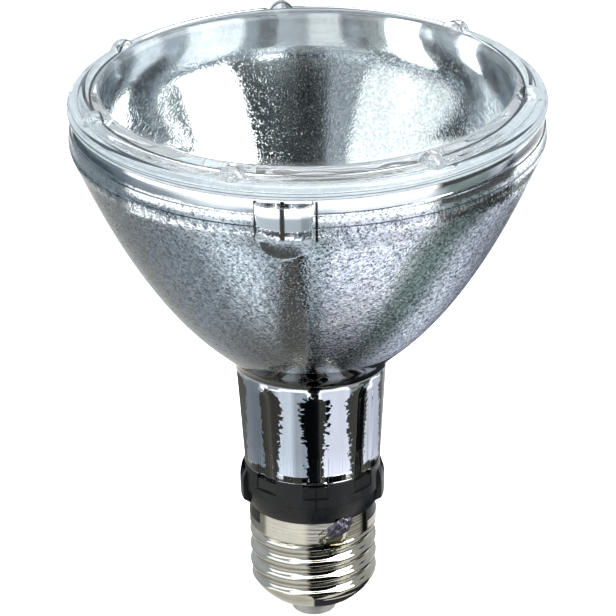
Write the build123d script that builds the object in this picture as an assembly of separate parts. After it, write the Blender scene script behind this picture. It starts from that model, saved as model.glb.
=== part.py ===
"""Reflector spotlight bulb of the long-neck PAR30 size, with a 27 mm screw cap.

Millimetres. The lamp's axis is Z, from the centre contact at z = 0 up to the front lens.
The side with the lug on the rim faces -Y.
"""

import math
import os

from build123d import *

# How far a cutter runs past the face it cuts through
OVERCUT = 1.0

# Cap: shell, rounded thread, insulator and centre contact
THREAD_PITCH = 25.4 / 7
CREST_RADIUS = 13.1
ROOT_RADIUS = 12.1
THREAD_ARC = 1.025
THREAD_TOP = 23.4
THREAD_GAP = 0.3
THREAD_SEAT = 0.25
LEFT_CREST_Z = 19.2
TURNS_BELOW = 5
SHELL_BOTTOM = 5.0
SHELL_LIP_RADIUS = 9.4
SHELL_TOP = 26.3
SHELL_BORE = 11.75
SHELL_SHEET = 0.5
CORNER_RISE = 5.6
CORNER_PULL = 0.2
CREST_MARGIN = 0.4
CREST_RISE = 0.8
CORE_LAP = 0.2
SKIRT_RADIUS = 13.15
SKIRT_BOTTOM = 21.6
SKIRT_TAPER = 1.4
SKIRT_BORE = 12.8
INSULATOR_FOOT_RADIUS = 4.9
INSULATOR_FOOT = 2.3
INSULATOR_NECK = 4.5
INSULATOR_TOP = 8.6
CONTACT_RADIUS = 4.6
CONTACT_SHOULDER = 0.9
CONTACT_ROUND = 1.0
CONTACT_FACE = 0.15
CONTACT_HOLE = 1.1
DROP_RADIUS = 2.1

# Collar between the cap and the glass neck
COLLAR_TOP = 36.0
COLLAR_RADIUS = 14.1
COLLAR_BORE = 13.2
COLLAR_SEAT = 29.0
COLLAR_THROAT = 10.6
COLLAR_EDGE = 0.15
BARREL_BOTTOM = 22.0
CROWN_FOOT = (14.2, 30.5)
FLARE_TOP = (13.85, 30.2)
FLARE_PULL = (13.75, 27.6)
PANEL_COUNT = 8
PANEL_WIDTH = 5.2
PANEL_DEPTH = 0.35
PANEL_BOTTOM = 32.4
WINDOW_BOTTOM = 34.9
SPLIT_RADIUS = 13.5
SPLIT_WIDTH = 0.3
EAR_RADIUS = 14.95
EAR_HALF_ANGLE = 18
EAR_TOP = 34.4
EAR_PULL = 33.4
EAR_WIDEST = 31.0
EAR_FOOT = (14.85, 27.8)
EAR_ROOT = (13.4, 26.8)
KEY_BOTTOM = 23.6
KEY_HALF_ANGLE = 34
KEY_LAP = 0.3
KEY_GAP = 0.05
EXIT_SLOT_RADIUS = 12.3
EXIT_SLOT = (3.6, 2.4, 1.0)

# Pressed glass reflector: fluted neck, parabolic bowl, clear rim with one lug
NECK_TOP = 57.0
NECK_TOP_RADIUS = 15.5
NECK_FOOT_RADIUS = 14.15
NECK_BORE = 11.5
FLUTE_COUNT = 8
FLUTE_TURN = -87.4
FLUTE_CUTTER = 6.0
FLUTE_DEPTH = 0.85
FLUTE_BALL_Z = 53.9
FLUTE_REACH = 40.0
FOCAL_LENGTH = 9.8
MIRROR_VERTEX = 56.8
SHOULDER_PULL = (15.68, 59.17)
SHOULDER_END = (18.6, 61.84)
BOWL_FOOT = (20.97, 64.0)
BOWL_PULL = (35.2, 77.0)
BOWL_TOP = (47.35, 106.4)
BULGE_PULL = (47.71, 107.3)
BULGE_TOP = (47.65, 108.2)
RIM_TOP = 113.7
RIM_RADIUS = 47.1
RIM_BORE = 43.7
PARTING_LOW = (47.35, 110.4)
PARTING_HIGH = 110.55
LUG_TURN = -95.8
LUG_HALF_WIDTH = 6.0
LUG_REACH = 48.7
LUG_BULGE = 2.4
LUG_ROOT = 5.0
LUG_CENTRE_Z = 107.6
LUG_TOP = 113.1

# Front lens
LENS_RADIUS = 47.75
LENS_FACE = 118.3
LENS_FACE_RADIUS = 41.4
LENS_BACK = 114.6
LENS_SHOULDER = 115.1
LENS_SKIRT = 114.2
LENS_CHAMFER = 0.8
GROOVE = (43.05, 117.0)
BEAD_CROWN = (44.2, 117.35)
BEAD_END = (45.5, 116.9)
STEP_FOOT = (45.6, 116.5)
STEP_CROWN = (46.5, 116.3)
STEP_END = (47.05, 115.85)
EDGE_FOOT = (47.1, 115.55)
EDGE_CROWN = (47.55, 115.4)
NUB_COUNT = 7
NUB_TURN = 45.3
NUB_CIRCLE = 43.9
NUB_RADIUS = 2.6
NUB_Z = 116.4

# Burner: quartz capsule, arc tube at the mirror's focus, wires, foils and pins
FOCUS = MIRROR_VERTEX + FOCAL_LENGTH
BULB_RADIUS = 6.3
BULB_WALL = 1.0
BULB_DOME = 77.7
BULB_SHOULDER = 49.0
BULB_FLOOR = 48.5
BULB_FLOOR_RIM = 50.5
PINCH_TOP = 44.5
PINCH_FOOT = 33.0
PINCH_WIDTH = 12.8
PINCH_THICKNESS = 3.2
PINCH_ROUND = 1.2
CEMENT_TOP = 41.0
CEMENT_FOOT = 29.6
ARC_RADIUS = 3.4
ARC_HALF_LENGTH = 4.6
ARC_ROUND = 1.2
ARC_WALL = 0.8
ARC_END_WALL = 1.0
CAPILLARY_RADIUS = 1.25
CAPILLARY_LENGTH = 6.5
FEED_RADIUS = 0.35
FEED_BEND_TOP = 53.3
FEED_BEND_FOOT = 49.5
WIRE_RADIUS = 0.4
WIRE_OFFSET = 4.5
WIRE_BEND = 1.4
WIRE_BEND_FOOT = 49.8
WIRE_BEND_TOP = 52.6
FOIL_OFFSET = 3.2
FOIL_WIDTH = 2.4
FOIL_THICKNESS = 0.1
FOIL_FOOT = 36.5
FOIL_TOP = 42.5
PIN_FOOT = 25.0
LEAD_RADIUS = 0.4
LEAD_BEND = 1.0
LEAD_RISE = 0.4
LEAD_END = 0.6
CONTACT_LEAD_BENDS = (23.4, 18.3)
SHELL_LEAD_BEND = 22.6
SLEEVE_RADIUS = 1.1
SLEEVE_FOOT = 9.0
SLEEVE_TOP = 17.5
GETTER_Z = 57.0
GETTER_OFFSET = 4.0
GETTER_SIZE = (0.6, 3.0, 5.0)
ARC_TIP_GAP = 2.4
LEAD_CROSSING = 80.4
LEAD_TIP = 81.2

# Solder where the live lead meets the shell; it laps up over the collar's edge
SOLDER_TURN = -65
SOLDER_Z = 24.9
SOLDER_TOP = 27.0
SOLDER_HALF_WIDTH = 2.75
SOLDER_HALF_RISE = 2.1
SOLDER_HEIGHT = 0.85
SOLDER_SEAT = 0.8
SOLDER_ROUND = 0.6


def at(radius, z):
    """A point of a turned profile, in the XZ plane."""
    return (radius, 0, z)


def turned(*edges):
    """Solid turned about the lamp's axis from the closed profile that the edges bound."""
    return revolve(make_face(list(edges)), Axis.Z)


def ring_of(shape, count, first_turn):
    """Copies of a shape made on the +X side, evenly spaced about the axis."""
    return [Rot(0, 0, first_turn + 360 * i / count) * shape for i in range(count)]


def wire(points, bend, radius):
    """Round wire along straight runs joined by bends of one radius."""
    path = FilletPolyline(*points, radius=bend)
    return sweep(Plane(path @ 0, z_dir=path % 0) * Circle(radius), path=path)


def sector(inner, outer, half_angle, low, high):
    """Block between two radii, two heights and two angles, centred on +X."""
    ring = Circle(outer) - Circle(inner)
    reach = 2 * outer
    side = reach * math.tan(math.radians(half_angle))
    wedge = make_face(Polyline((0, 0), (reach, -side), (reach, side), close=True))
    return Pos(0, 0, low) * extrude(ring & wedge, high - low)


def thread_ridge():
    """One start of the cap's rounded thread: crest and root arcs of the same radius, swept up a helix."""
    half = THREAD_PITCH / 2
    root_centre = ROOT_RADIUS + THREAD_ARC
    edge = half - THREAD_GAP
    foot = root_centre - math.sqrt(THREAD_ARC**2 - (half - edge) ** 2)
    waist = (ROOT_RADIUS + CREST_RADIUS) / 2
    quarter = half / 2
    bend = (edge + quarter) / 2
    bend_r = root_centre - math.sqrt(THREAD_ARC**2 - (half - bend) ** 2)
    inside = ROOT_RADIUS - THREAD_SEAT
    outline = [
        ThreePointArc((foot, -edge), (bend_r, -bend), (waist, -quarter)),
        ThreePointArc((waist, -quarter), (CREST_RADIUS, 0), (waist, quarter)),
        ThreePointArc((waist, quarter), (bend_r, bend), (foot, edge)),
        Polyline((foot, edge), (inside, edge), (inside, -edge), (foot, -edge)),
    ]
    start = LEFT_CREST_Z - TURNS_BELOW * THREAD_PITCH
    turns_height = THREAD_TOP - start
    helix = Helix(THREAD_PITCH, turns_height, ROOT_RADIUS)
    section = Pos(-ROOT_RADIUS, 0) * make_face(outline)
    plane = Plane(helix @ 0, x_dir=(1, 0, 0), z_dir=helix % 0)
    ridge = sweep(plane * section, path=helix, is_frenet=True)
    return Pos(0, 0, start) * Rot(0, 0, 180) * ridge


def shell_corner(lip, radius, rise):
    """Profile of the shell's rounded lower corner, from its lip out to a radius."""
    return Bezier(
        at(lip, SHELL_BOTTOM),
        at(radius - CORNER_PULL, SHELL_BOTTOM + rise / 2),
        at(radius, SHELL_BOTTOM + rise),
    )


def shell_blank(lip, radius, rise):
    """Solid cup with that corner, up to the shell's top edge."""
    rest = Polyline(
        at(radius, SHELL_BOTTOM + rise),
        at(radius, SHELL_TOP),
        at(0, SHELL_TOP),
        at(0, SHELL_BOTTOM),
        at(lip, SHELL_BOTTOM),
    )
    return turned(shell_corner(lip, radius, rise), rest)


def make_cap_shell():
    """Rolled screw shell: a thread under a plain skirt, two notches in its top edge for the collar's keys."""
    envelope = shell_blank(SHELL_LIP_RADIUS, CREST_RADIUS + CREST_MARGIN, CORNER_RISE + CREST_RISE)
    core = shell_blank(SHELL_LIP_RADIUS - CORE_LAP, ROOT_RADIUS, CORNER_RISE)
    skirt = turned(
        Polyline(
            at(ROOT_RADIUS - CORE_LAP, SKIRT_BOTTOM - SKIRT_TAPER),
            at(ROOT_RADIUS, SKIRT_BOTTOM - SKIRT_TAPER),
            at(SKIRT_RADIUS, SKIRT_BOTTOM),
            at(SKIRT_RADIUS, SHELL_TOP),
            at(ROOT_RADIUS - CORE_LAP, SHELL_TOP),
            close=True,
        )
    )
    bore = shell_blank(SHELL_LIP_RADIUS - SHELL_SHEET, SHELL_BORE, CORNER_RISE)
    bore += Pos(0, 0, BARREL_BOTTOM) * extrude(Circle(SKIRT_BORE), SHELL_TOP - BARREL_BOTTOM)
    shell = core + (thread_ridge() & envelope) + skirt - bore
    notch = sector(ROOT_RADIUS, SKIRT_RADIUS + OVERCUT, KEY_HALF_ANGLE, KEY_BOTTOM, SHELL_TOP + OVERCUT)
    for cut in ring_of(notch, 2, 0):
        shell -= cut
    return shell


def make_cap_insulator():
    """Black glass moulded into the foot of the shell, with a hole for the lead."""
    lip = SHELL_LIP_RADIUS - SHELL_SHEET
    return turned(
        shell_corner(lip, SHELL_BORE, CORNER_RISE),
        Polyline(
            at(SHELL_BORE, SHELL_BOTTOM + CORNER_RISE),
            at(INSULATOR_FOOT_RADIUS, INSULATOR_TOP),
            at(CONTACT_HOLE, INSULATOR_NECK),
            at(CONTACT_HOLE, INSULATOR_FOOT),
            at(INSULATOR_FOOT_RADIUS, INSULATOR_FOOT),
            at(lip, SHELL_BOTTOM),
        ),
    )


def make_centre_contact():
    """Pressed contact under the insulator, with a hole that the solder fills."""
    corner = at(CONTACT_RADIUS, CONTACT_SHOULDER)
    face_edge = at(CONTACT_RADIUS - CONTACT_ROUND, CONTACT_FACE)
    crown = Bezier(corner, at(CONTACT_RADIUS, CONTACT_FACE), face_edge)
    rest = Polyline(
        face_edge,
        at(CONTACT_HOLE, CONTACT_FACE),
        at(CONTACT_HOLE, INSULATOR_FOOT),
        at(CONTACT_RADIUS, INSULATOR_FOOT),
        corner,
    )
    return turned(crown, rest)


def make_contact_solder():
    """Drop of solder that fills the contact's hole round the lead and stands a little proud of it."""
    drop = Bezier(at(0, 0), at(CONTACT_HOLE, 0), at(DROP_RADIUS, CONTACT_FACE))
    rest = Polyline(
        at(DROP_RADIUS, CONTACT_FACE),
        at(CONTACT_HOLE, CONTACT_FACE),
        at(CONTACT_HOLE, INSULATOR_FOOT),
        at(LEAD_RADIUS, INSULATOR_FOOT),
        at(LEAD_RADIUS, LEAD_END),
        at(0, LEAD_END),
        at(0, 0),
    )
    return turned(drop, rest)


def make_collar():
    """Black moulded ring: notched panels under the flutes, two ears, keys that drop into the shell."""
    flare = Bezier(at(*FLARE_TOP), at(*FLARE_PULL), at(CREST_RADIUS, SHELL_TOP))
    rest = Polyline(
        at(CREST_RADIUS, SHELL_TOP),
        at(SKIRT_BORE, SHELL_TOP),
        at(SKIRT_BORE, BARREL_BOTTOM),
        at(COLLAR_THROAT, BARREL_BOTTOM),
        at(COLLAR_THROAT, COLLAR_SEAT),
        at(COLLAR_BORE, COLLAR_SEAT),
        at(COLLAR_BORE, COLLAR_TOP),
        at(COLLAR_RADIUS - COLLAR_EDGE, COLLAR_TOP),
        at(COLLAR_RADIUS, COLLAR_TOP - 2 * COLLAR_EDGE),
        at(*CROWN_FOOT),
        at(*FLARE_TOP),
    )
    collar = turned(flare, rest)
    root_r, root_z = EAR_ROOT
    ear_face = make_face(
        [
            Bezier(at(COLLAR_RADIUS, EAR_TOP), at(EAR_RADIUS, EAR_PULL), at(EAR_RADIUS, EAR_WIDEST)),
            Polyline(
                at(EAR_RADIUS, EAR_WIDEST),
                at(*EAR_FOOT),
                at(root_r, root_z),
                at(root_r, EAR_TOP),
                at(COLLAR_RADIUS, EAR_TOP),
            ),
        ]
    )
    ear = Rot(0, 0, -EAR_HALF_ANGLE) * revolve(ear_face, Axis.Z, 2 * EAR_HALF_ANGLE)
    key_top = SHELL_TOP + KEY_LAP
    key = sector(SKIRT_BORE - KEY_LAP, CREST_RADIUS - KEY_GAP, KEY_HALF_ANGLE, KEY_BOTTOM, key_top)
    for piece in ring_of(ear, 2, 0) + ring_of(key, 2, 0):
        collar += piece
    panel = face_cutter(COLLAR_RADIUS - PANEL_DEPTH, PANEL_WIDTH, PANEL_BOTTOM)
    panel += face_cutter(COLLAR_BORE - PANEL_DEPTH, PANEL_WIDTH, WINDOW_BOTTOM)
    for cut in ring_of(panel, PANEL_COUNT, FLUTE_TURN):
        collar -= cut
    collar -= Rot(0, 0, FLUTE_TURN) * face_cutter(SPLIT_RADIUS, SPLIT_WIDTH, SHELL_TOP)
    exit_slot = Pos(EXIT_SLOT_RADIUS, 0, SHELL_TOP + LEAD_RISE) * Box(*EXIT_SLOT)
    return collar - Rot(0, 0, SOLDER_TURN) * exit_slot


def face_cutter(floor, width, bottom):
    """Block that cuts the collar's +X face down to a flat floor, from a height up past its top."""
    height = COLLAR_TOP + OVERCUT - bottom
    return Pos(floor + OVERCUT, 0, bottom + height / 2) * Box(2 * OVERCUT, width, height)


def mirror_radius(z):
    """Radius of the parabolic mirror at a height."""
    return math.sqrt(4 * FOCAL_LENGTH * (z - MIRROR_VERTEX))


def mirror_arc(low, high):
    """The mirror's parabola between two heights, as an exact quadratic curve."""
    low_r = mirror_radius(low)
    high_r = mirror_radius(high)
    low_slope = 2 * FOCAL_LENGTH / low_r
    high_slope = 2 * FOCAL_LENGTH / high_r
    z = (high_r - low_r + low_slope * low - high_slope * high) / (low_slope - high_slope)
    return Bezier(at(high_r, high), at(low_r + low_slope * (z - low), z), at(low_r, low))


def make_reflector():
    """Pressed bowl in one piece with its fluted neck, its clear rim and the lug on the rim."""
    mirror_foot = MIRROR_VERTEX + NECK_BORE**2 / (4 * FOCAL_LENGTH)
    mirror_head = MIRROR_VERTEX + RIM_BORE**2 / (4 * FOCAL_LENGTH)
    neck = Polyline(
        at(NECK_BORE, COLLAR_SEAT),
        at(COLLAR_BORE, COLLAR_SEAT),
        at(COLLAR_BORE, COLLAR_TOP),
        at(NECK_FOOT_RADIUS, COLLAR_TOP),
        at(NECK_TOP_RADIUS, NECK_TOP),
    )
    shoulder = Bezier(at(NECK_TOP_RADIUS, NECK_TOP), at(*SHOULDER_PULL), at(*SHOULDER_END))
    flank = Line(at(*SHOULDER_END), at(*BOWL_FOOT))
    bowl = Bezier(at(*BOWL_FOOT), at(*BOWL_PULL), at(*BOWL_TOP))
    bulge = Bezier(at(*BOWL_TOP), at(*BULGE_PULL), at(*BULGE_TOP))
    rim = Polyline(
        at(*BULGE_TOP),
        at(*PARTING_LOW),
        at(RIM_RADIUS, PARTING_HIGH),
        at(RIM_RADIUS, RIM_TOP),
        at(RIM_BORE, RIM_TOP),
        at(RIM_BORE, mirror_head),
    )
    mirror = mirror_arc(mirror_foot, mirror_head)
    bore = Line(at(NECK_BORE, mirror_foot), at(NECK_BORE, COLLAR_SEAT))
    body = turned(neck, shoulder, flank, bowl, bulge, rim, mirror, bore)
    hollow = turned(
        mirror,
        Polyline(
            at(NECK_BORE, mirror_foot),
            at(0, mirror_foot),
            at(0, mirror_head),
            at(RIM_BORE, mirror_head),
        ),
    ) + Pos(0, 0, mirror_head) * extrude(Circle(RIM_BORE), RIM_TOP - mirror_head)
    body += make_lug() - hollow
    for cut in ring_of(flute_cutter(), FLUTE_COUNT, FLUTE_TURN):
        body -= cut
    return body


def make_lug():
    """Upright half-round boss under the lens joint, with a domed foot that runs into the bowl."""
    axis = LUG_REACH - LUG_BULGE
    width = 2 * LUG_HALF_WIDTH
    plan = Ellipse(LUG_BULGE, LUG_HALF_WIDTH) + Pos(-LUG_ROOT / 2, 0) * Rectangle(LUG_ROOT, width)
    bottom = LUG_CENTRE_Z - LUG_HALF_WIDTH
    bar = Pos(axis, 0, bottom) * extrude(plan, LUG_TOP - bottom)
    outline = Pos(0, LUG_CENTRE_Z) * Circle(LUG_HALF_WIDTH)
    outline += Pos(0, LUG_CENTRE_Z + LUG_HALF_WIDTH) * Rectangle(width, width)
    front = Pos(axis - 2 * LUG_ROOT, 0, 0) * extrude(Plane.YZ * outline, 4 * LUG_ROOT)
    return Rot(0, 0, LUG_TURN) * (bar & front)


def flute_cutter():
    """Ball-ended bar that presses one arch-topped flute, leaning with the neck's taper."""
    lean = math.degrees(math.atan2(NECK_TOP_RADIUS - NECK_FOOT_RADIUS, NECK_TOP - COLLAR_TOP))
    top_r = NECK_TOP_RADIUS - FLUTE_DEPTH + FLUTE_CUTTER
    bar = Pos(0, 0, -FLUTE_REACH / 2) * Cylinder(FLUTE_CUTTER, FLUTE_REACH)
    return Pos(top_r, 0, FLUTE_BALL_Z) * Rot(0, lean, 0) * (bar + Sphere(FLUTE_CUTTER))


def make_front_lens():
    """Clear pressed disc: raised face, groove, stepped rim, and nubs that keep the face off a table."""
    edge = Polyline(
        at(0, LENS_BACK),
        at(0, LENS_FACE),
        at(LENS_FACE_RADIUS, LENS_FACE),
        at(*GROOVE),
    )
    bead = ThreePointArc(at(*GROOVE), at(*BEAD_CROWN), at(*BEAD_END))
    drop = Line(at(*BEAD_END), at(*STEP_FOOT))
    step = ThreePointArc(at(*STEP_FOOT), at(*STEP_CROWN), at(*STEP_END))
    second_drop = Line(at(*STEP_END), at(*EDGE_FOOT))
    side = ThreePointArc(at(*EDGE_FOOT), at(*EDGE_CROWN), at(LENS_RADIUS, LENS_SHOULDER))
    foot = Polyline(
        at(LENS_RADIUS, LENS_SHOULDER),
        at(LENS_RADIUS, LENS_SKIRT),
        at(RIM_RADIUS, RIM_TOP),
        at(RIM_BORE, RIM_TOP),
        at(RIM_BORE - LENS_CHAMFER, LENS_BACK),
        at(0, LENS_BACK),
    )
    lens = turned(edge, bead, drop, step, second_drop, side, foot)
    nub = Pos(NUB_CIRCLE, 0, NUB_Z) * Sphere(NUB_RADIUS)
    for piece in ring_of(nub, NUB_COUNT, NUB_TURN):
        lens += piece
    return lens


def make_burner_bulb():
    """Quartz capsule: domed tube that runs down into a flat pinch."""
    top = BULB_DOME + BULB_RADIUS
    room = BULB_RADIUS - BULB_WALL
    outside = turned(
        Polyline(
            at(0, top),
            at(0, BULB_SHOULDER),
            at(BULB_RADIUS, BULB_SHOULDER),
            at(BULB_RADIUS, BULB_DOME),
        ),
        Bezier(at(BULB_RADIUS, BULB_DOME), at(BULB_RADIUS, top), at(0, top)),
    )
    inside = turned(
        Polyline(
            at(0, top - BULB_WALL),
            at(0, BULB_FLOOR),
            at(room, BULB_FLOOR_RIM),
            at(room, BULB_DOME),
        ),
        Bezier(at(room, BULB_DOME), at(room, top - BULB_WALL), at(0, top - BULB_WALL)),
    )
    slab = RectangleRounded(PINCH_WIDTH, PINCH_THICKNESS, PINCH_ROUND)
    neck = loft([Pos(0, 0, PINCH_TOP) * slab, Pos(0, 0, BULB_SHOULDER) * Circle(BULB_RADIUS)])
    pinch = Pos(0, 0, PINCH_FOOT) * extrude(slab, PINCH_TOP - PINCH_FOOT)
    return outside + neck + pinch - inside


def make_arc_tube():
    """Alumina arc tube: round-shouldered barrel with a capillary at each end, bored through."""
    end = ARC_HALF_LENGTH + CAPILLARY_LENGTH
    outline = Polyline(
        (FEED_RADIUS, -end),
        (CAPILLARY_RADIUS, -end),
        (CAPILLARY_RADIUS, -ARC_HALF_LENGTH),
        (ARC_RADIUS, -ARC_HALF_LENGTH),
        (ARC_RADIUS, ARC_HALF_LENGTH),
        (CAPILLARY_RADIUS, ARC_HALF_LENGTH),
        (CAPILLARY_RADIUS, end),
        (FEED_RADIUS, end),
        close=True,
    )
    blank = Pos(0, 0, FOCUS) * revolve(Plane.XZ * make_face(outline), Axis.Z)
    circles = blank.edges().filter_by(GeomType.CIRCLE)
    blank = fillet([edge for edge in circles if abs(edge.radius - ARC_RADIUS) < 0.01], ARC_ROUND)
    chamber_length = 2 * (ARC_HALF_LENGTH - ARC_END_WALL)
    chamber = Pos(0, 0, FOCUS) * Cylinder(ARC_RADIUS - ARC_WALL, chamber_length)
    return blank - fillet(chamber.edges().filter_by(GeomType.CIRCLE), ARC_WALL)


def make_upper_lead():
    """Upper electrode and its feedthrough, straight up out of the capillary."""
    tip = FOCUS + ARC_TIP_GAP
    return Pos(0, 0, tip) * extrude(Circle(FEED_RADIUS), LEAD_TIP - tip)


def make_lower_lead():
    """Lower electrode and its feedthrough, bent across to the left foil in the pinch."""
    points = [
        (0, 0, FOCUS - ARC_TIP_GAP),
        (0, 0, FEED_BEND_TOP),
        (-FOIL_OFFSET, 0, FEED_BEND_FOOT),
        (-FOIL_OFFSET, 0, FOIL_TOP),
    ]
    return wire(points, LEAD_BEND, FEED_RADIUS)


def make_return_wire():
    """Frame wire from the right foil, up beside the arc tube and over to the upper lead."""
    points = [
        (FOIL_OFFSET, 0, FOIL_TOP),
        (FOIL_OFFSET, 0, WIRE_BEND_FOOT),
        (WIRE_OFFSET, 0, WIRE_BEND_TOP),
        (WIRE_OFFSET, 0, LEAD_CROSSING),
        (0, 0, LEAD_CROSSING),
    ]
    return wire(points, WIRE_BEND, WIRE_RADIUS)


def make_foil(x):
    """Thin molybdenum foil that seals one conductor through the pinch."""
    height = FOIL_TOP - FOIL_FOOT
    return Pos(x, 0, FOIL_FOOT + height / 2) * Box(FOIL_WIDTH, FOIL_THICKNESS, height)


def make_pin(x):
    """Outer pin below one foil."""
    return Pos(x, 0, PIN_FOOT) * extrude(Circle(LEAD_RADIUS), FOIL_FOOT - PIN_FOOT)


def make_cement():
    """Plug of cement round the pinch, in the foot of the glass neck."""
    return Pos(0, 0, CEMENT_FOOT) * extrude(Circle(NECK_BORE), CEMENT_TOP - CEMENT_FOOT)


def make_contact_lead():
    """Lead from the left pin down the middle of the cap into the contact's solder."""
    bend_top, bend_foot = CONTACT_LEAD_BENDS
    points = [
        (-FOIL_OFFSET, 0, PIN_FOOT),
        (-FOIL_OFFSET, 0, bend_top),
        (0, 0, bend_foot),
        (0, 0, LEAD_END),
    ]
    return wire(points, LEAD_BEND, LEAD_RADIUS)


def make_lead_sleeve():
    """Glass-fibre sleeve on that lead."""
    tube = Circle(SLEEVE_RADIUS) - Circle(LEAD_RADIUS)
    return Pos(0, 0, SLEEVE_FOOT) * extrude(tube, SLEEVE_TOP - SLEEVE_FOOT)


def make_shell_lead():
    """Lead from the right pin, out through the collar's slot and over the shell's edge to the solder."""
    end = SKIRT_RADIUS + SOLDER_HEIGHT / 2
    end_x = end * math.cos(math.radians(SOLDER_TURN))
    end_y = end * math.sin(math.radians(SOLDER_TURN))
    exit_z = SHELL_TOP + LEAD_RISE
    points = [
        (FOIL_OFFSET, 0, PIN_FOOT),
        (FOIL_OFFSET, 0, SHELL_LEAD_BEND),
        ((FOIL_OFFSET + end_x) / 2, end_y / 2, exit_z),
        (end_x, end_y, exit_z),
    ]
    return wire(points, LEAD_BEND, LEAD_RADIUS)


def make_side_solder():
    """Flattened dab of solder on the shell's edge, round the end of the lead."""
    seat = SKIRT_RADIUS - SOLDER_SEAT
    spot = Plane(origin=(seat, 0, SOLDER_Z), x_dir=(0, 1, 0), z_dir=(1, 0, 0))
    dab = extrude(spot * Ellipse(SOLDER_HALF_WIDTH, SOLDER_HALF_RISE), SOLDER_HEIGHT + SOLDER_SEAT)
    dab = fillet(dab.edges().group_by(Axis.X)[-1], SOLDER_ROUND)
    reach = SKIRT_RADIUS + 2 * SOLDER_HEIGHT
    room = Circle(reach) - Circle(SKIRT_RADIUS)
    height = SOLDER_TOP - BARREL_BOTTOM
    return Rot(0, 0, SOLDER_TURN) * (dab & Pos(0, 0, BARREL_BOTTOM) * extrude(room, height))


def make_parts():
    """Every piece by name, each cut to seat in or round its neighbours."""
    shell = make_cap_shell()
    collar = make_collar()
    upper_lead = make_upper_lead()
    lower_lead = make_lower_lead()
    return_wire = make_return_wire() - upper_lead
    foil_left = make_foil(-FOIL_OFFSET)
    foil_right = make_foil(FOIL_OFFSET)
    pin_left = make_pin(-FOIL_OFFSET)
    pin_right = make_pin(FOIL_OFFSET)
    shell_lead = make_shell_lead()
    blank = make_burner_bulb()
    bulb = blank
    for piece in (lower_lead, return_wire, foil_left, foil_right, pin_left, pin_right):
        bulb -= piece
    getter = Pos(GETTER_OFFSET, 0, GETTER_Z) * Box(*GETTER_SIZE)
    return {
        "cap_shell": shell,
        "cap_insulator": make_cap_insulator(),
        "centre_contact": make_centre_contact(),
        "contact_solder": make_contact_solder(),
        "side_solder": make_side_solder() - collar - shell_lead,
        "collar": collar,
        "reflector": make_reflector(),
        "front_lens": make_front_lens(),
        "burner_bulb": bulb,
        "arc_tube": make_arc_tube(),
        "upper_lead": upper_lead,
        "lower_lead": lower_lead,
        "return_wire": return_wire,
        "getter": getter - return_wire,
        "foil_left": foil_left,
        "foil_right": foil_right,
        "pin_left": pin_left,
        "pin_right": pin_right,
        "burner_cement": make_cement() - blank - pin_left - pin_right,
        "contact_lead": make_contact_lead(),
        "lead_sleeve": make_lead_sleeve(),
        "shell_lead": shell_lead,
    }


os.makedirs("parts", exist_ok=True)
for name, shape in make_parts().items():
    export_step(shape, f"parts/{name}.step")
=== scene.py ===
"""Looks for the reflector spotlight bulb: burner, mirrored bowl, lens, collar and screw cap.

Metres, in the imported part's frame: the lamp's axis is Z, its contact stands at z = 0, and -Y faces the
camera. Shapes are worked out in millimetres and scaled once, where a mesh is made.
"""

import math

import bpy
import numpy as np
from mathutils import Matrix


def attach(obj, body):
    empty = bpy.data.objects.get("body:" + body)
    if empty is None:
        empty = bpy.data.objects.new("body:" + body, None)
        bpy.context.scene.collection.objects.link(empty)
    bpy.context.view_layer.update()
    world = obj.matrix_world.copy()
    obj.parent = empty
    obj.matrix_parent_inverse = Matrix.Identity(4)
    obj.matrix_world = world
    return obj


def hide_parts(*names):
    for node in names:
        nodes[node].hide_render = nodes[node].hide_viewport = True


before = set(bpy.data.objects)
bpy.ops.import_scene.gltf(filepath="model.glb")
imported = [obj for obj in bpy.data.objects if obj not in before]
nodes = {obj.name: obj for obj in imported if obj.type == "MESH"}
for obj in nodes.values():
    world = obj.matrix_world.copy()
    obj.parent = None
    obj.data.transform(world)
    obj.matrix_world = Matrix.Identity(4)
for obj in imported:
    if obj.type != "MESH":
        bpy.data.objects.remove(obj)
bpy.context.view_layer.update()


# Burner: a quartz capsule with a ceramic arc tube on two wires, its pinch sealed by foils.
# The capsule is drawn and pinched, the wires are welded, and cement holds it in the reflector's neck.

# Places of a colour mix's sockets: three of its inputs, and its result.
FACTOR, COLOUR_A, COLOUR_B, MIXED = 0, 6, 7, 2


def linear(code):
    """Linear colour of an sRGB hex code, with alpha 1."""
    channels = [int(code[i : i + 2], 16) / 255 for i in (1, 3, 5)]
    return (*[c / 12.92 if c <= 0.04045 else ((c + 0.055) / 1.055) ** 2.4 for c in channels], 1)


def per_metre(millimetres):
    """Texture scale that gives a pattern of that size."""
    return 1000 / millimetres


def add_node(tree, kind, inputs=None, stops=(), **settings):
    """Adds a node with its settings and a ramp's stops; each input is a value, or a socket to link from."""
    made = tree.nodes.new(kind)
    for name, value in settings.items():
        setattr(made, name, value)
    for number, (place, code) in enumerate(stops):
        stop = made.color_ramp.elements[number] if number < 2 else made.color_ramp.elements.new(place)
        stop.position = place
        stop.color = linear(code)
    for key, value in (inputs or {}).items():
        if isinstance(value, bpy.types.NodeSocket):
            tree.links.new(value, made.inputs[key])
        else:
            made.inputs[key].default_value = value
    return made


def start_material(name):
    """A new empty material: the material, its node tree and the object coordinates for its patterns."""
    material = bpy.data.materials.new(name)
    material.use_nodes = True
    material.node_tree.nodes.clear()
    where = add_node(material.node_tree, "ShaderNodeTexCoord").outputs["Object"]
    return material, material.node_tree, where


def finish_material(tree, inputs):
    """Puts a principled shader with these inputs on the material's output."""
    shader = add_node(tree, "ShaderNodeBsdfPrincipled", inputs)
    add_node(tree, "ShaderNodeOutputMaterial", {"Surface": shader.outputs["BSDF"]})


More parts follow.
